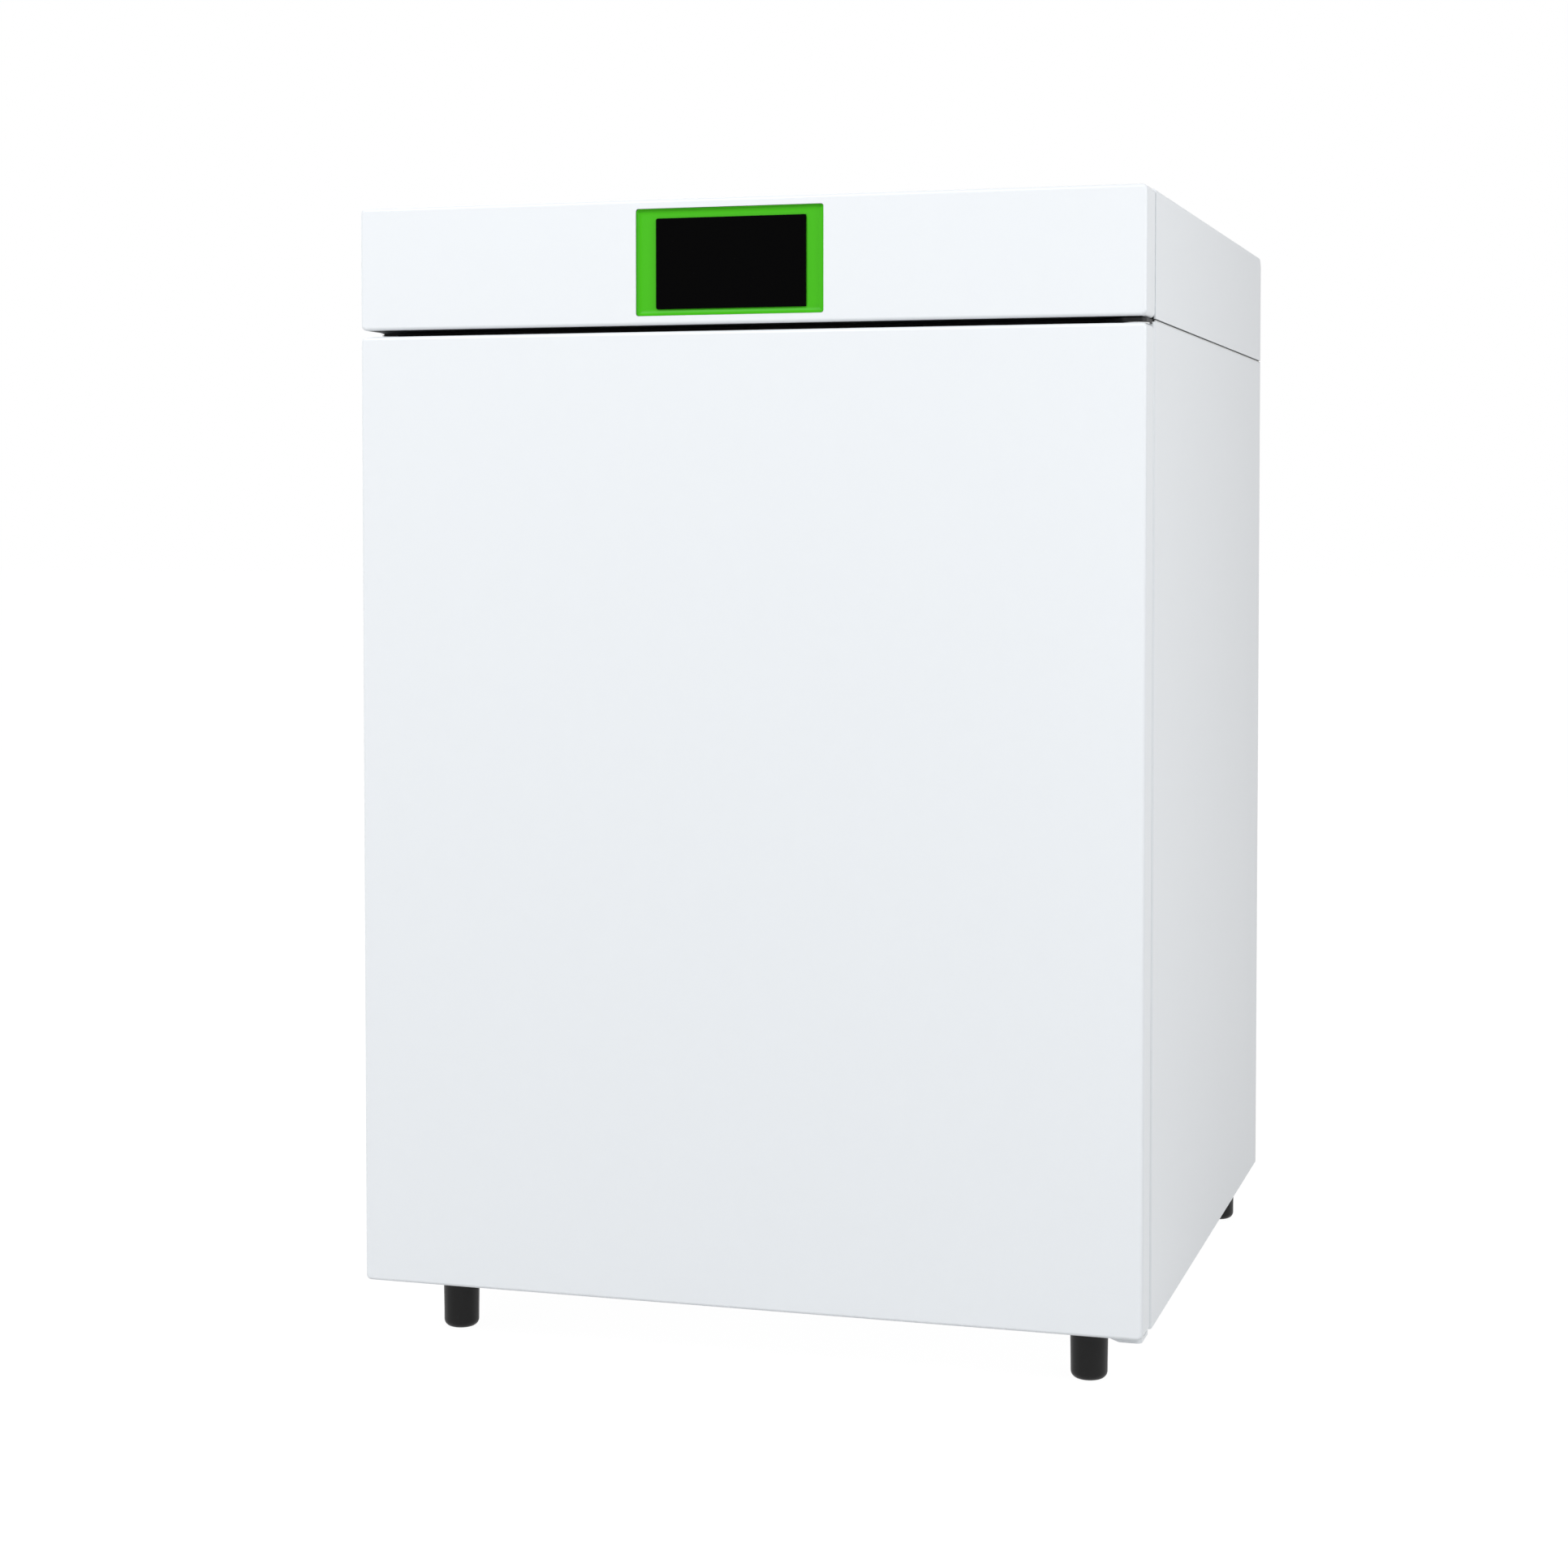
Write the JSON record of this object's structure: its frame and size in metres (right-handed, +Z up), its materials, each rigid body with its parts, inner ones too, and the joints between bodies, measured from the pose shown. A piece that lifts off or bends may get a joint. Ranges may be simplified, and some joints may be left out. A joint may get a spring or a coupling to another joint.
{
  "type": "carbon dioxide incubator",
  "caption": "Insulated cabinet on short feet with a plain hinged front door, an inner glass door, a steel chamber with sliding shelves, and a control head with a framed touch screen.",
  "frame": {"origin": "on the floor under the feet, half way along the width and the depth over the rear gas pipe", "axes": "+X to the right as seen from the front, +Y to the rear, +Z up; the door faces -Y"},
  "size_m": [0.59, 0.635, 0.8525],
  "materials": {
    "white_paint": "semi-gloss powder coat",
    "black_paint": "matt black",
    "galvanised": "dull zinc",
    "stainless": "satin stainless",
    "steel": "bright zinc",
    "green_plastic": "satin moulded",
    "black_glass": "dark glass",
    "clear_glass": "clear toughened",
    "black_plastic": "moulded",
    "white_plastic": "moulded",
    "white_rubber": "soft magnetic seal",
    "grey_silicone": "soft seal",
    "black_foam": "foam",
    "insulation": "rigid foam",
    "heater": "silicone mat",
    "filter": "pleated glass fibre",
    "probe": "polished",
    "circuit": "solder mask",
    "brass": "machined"
  },
  "bodies": {
    "cabinet": {"side_panel_left": "white_paint", "side_panel_right": "white_paint", "rear_panel": "white_paint", "front_frame": "white_paint", "head_hood": "white_paint", "fascia": "white_paint", "head_collar": "white_paint", "hinge_plate_top": "black_paint", "hinge_plate_bottom": "black_paint", "head_tray": "black_paint", "base_pan": "galvanised", "top_plate": "galvanised", "power_supply": "galvanised", "chamber_liner": "stainless", "rack_left": "stainless", "rack_right": "stainless", "air_duct_cover": "stainless", "glass_brackets": "stainless", "latch_keeper": "stainless", "rear_panel_screws": "steel", "foot_bolts": "steel", "liner_studs": "steel", "fan_motor": "steel", "mains_blades": "steel", "display_bezel": "green_plastic", "touch_screen": "black_glass", "feet": "black_plastic", "mains_inlet": "black_plastic", "switch_frame": "black_plastic", "display_module": "black_plastic", "door_sensor": "white_plastic", "co2_sensor": "white_plastic", "port_tube": "white_plastic", "chamber_seal": "grey_silicone", "head_foam": "black_foam", "insulation_boards": "insulation", "heater_mats": "heater", "air_filter": "filter", "temperature_probe": "probe", "control_board": "circuit", "gas_valve": "brass", "gas_inlet": "brass"},
    "outer_door": {"door_skin": "white_paint", "door_insulation": "insulation", "door_panel": "white_paint", "door_gasket": "white_rubber", "door_bushes": "white_plastic", "door_pull": "black_plastic"},
    "glass_door": {"glass_pane": "clear_glass", "glass_clamps": "stainless", "latch_boss": "stainless"},
    "latch": {"glass_latch": "black_plastic"},
    "top_shelf": {"shelf_top": "stainless"},
    "middle_shelf": {"shelf_middle": "stainless"},
    "bottom_shelf": {"shelf_bottom": "stainless"},
    "pan": {"water_pan": "stainless"},
    "fan": {"fan_wheel": "black_plastic"},
    "rocker": {"power_rocker": "black_plastic"},
    "plug": {"port_plug": "white_rubber"}
  },
  "joints": [
    {"name": "outer_door_hinge", "type": "hinge", "parent": "cabinet", "child": "outer_door", "pos_m": [0.285, -0.3015, 0.40255], "axis": [0, 0, 1], "range_deg": [0, 120]},
    {"name": "glass_door_hinge", "type": "hinge", "parent": "cabinet", "child": "glass_door", "pos_m": [0.232, -0.26, 0.4024], "axis": [0, 0, 1], "range_deg": [0, 100]},
    {"name": "glass_latch_turn", "type": "hinge", "parent": "glass_door", "child": "latch", "pos_m": [-0.205, -0.2716, 0.4024], "axis": [0, 1, 0], "range_deg": [0, 90]},
    {"name": "top_shelf_slide", "type": "slide", "parent": "cabinet", "child": "top_shelf", "axis": [0, -1, 0], "range_m": [0, 0.14]},
    {"name": "middle_shelf_slide", "type": "slide", "parent": "cabinet", "child": "middle_shelf", "axis": [0, -1, 0], "range_m": [0, 0.14]},
    {"name": "bottom_shelf_slide", "type": "slide", "parent": "cabinet", "child": "bottom_shelf", "axis": [0, -1, 0], "range_m": [0, 0.14]},
    {"name": "water_pan_slide", "type": "slide", "parent": "cabinet", "child": "pan", "axis": [0, -1, 0], "range_m": [0, 0.14]},
    {"name": "fan_spin", "type": "hinge", "parent": "cabinet", "child": "fan", "pos_m": [0, 0.1735, 0.5624], "axis": [0, 1, 0], "continuous": true},
    {"name": "power_rocker_tilt", "type": "hinge", "parent": "cabinet", "child": "rocker", "pos_m": [-0.14, 0.2885, 0.8068], "axis": [1, 0, 0], "range_deg": [-24, 0]},
    {"name": "port_plug_pull", "type": "slide", "parent": "cabinet", "child": "plug", "axis": [0, 1, 0], "range_m": [0, 0.06]}
  ],
  "couplings": [
    {"joint": "glass_door_hinge", "follows": "outer_door_hinge", "ratio": 0.8333},
    {"joint": "top_shelf_slide", "follows": "outer_door_hinge", "m_per_rad": 0.0668},
    {"joint": "middle_shelf_slide", "follows": "outer_door_hinge", "m_per_rad": 0.0668},
    {"joint": "bottom_shelf_slide", "follows": "outer_door_hinge", "m_per_rad": 0.0668},
    {"joint": "water_pan_slide", "follows": "outer_door_hinge", "m_per_rad": 0.0668}
  ]
}
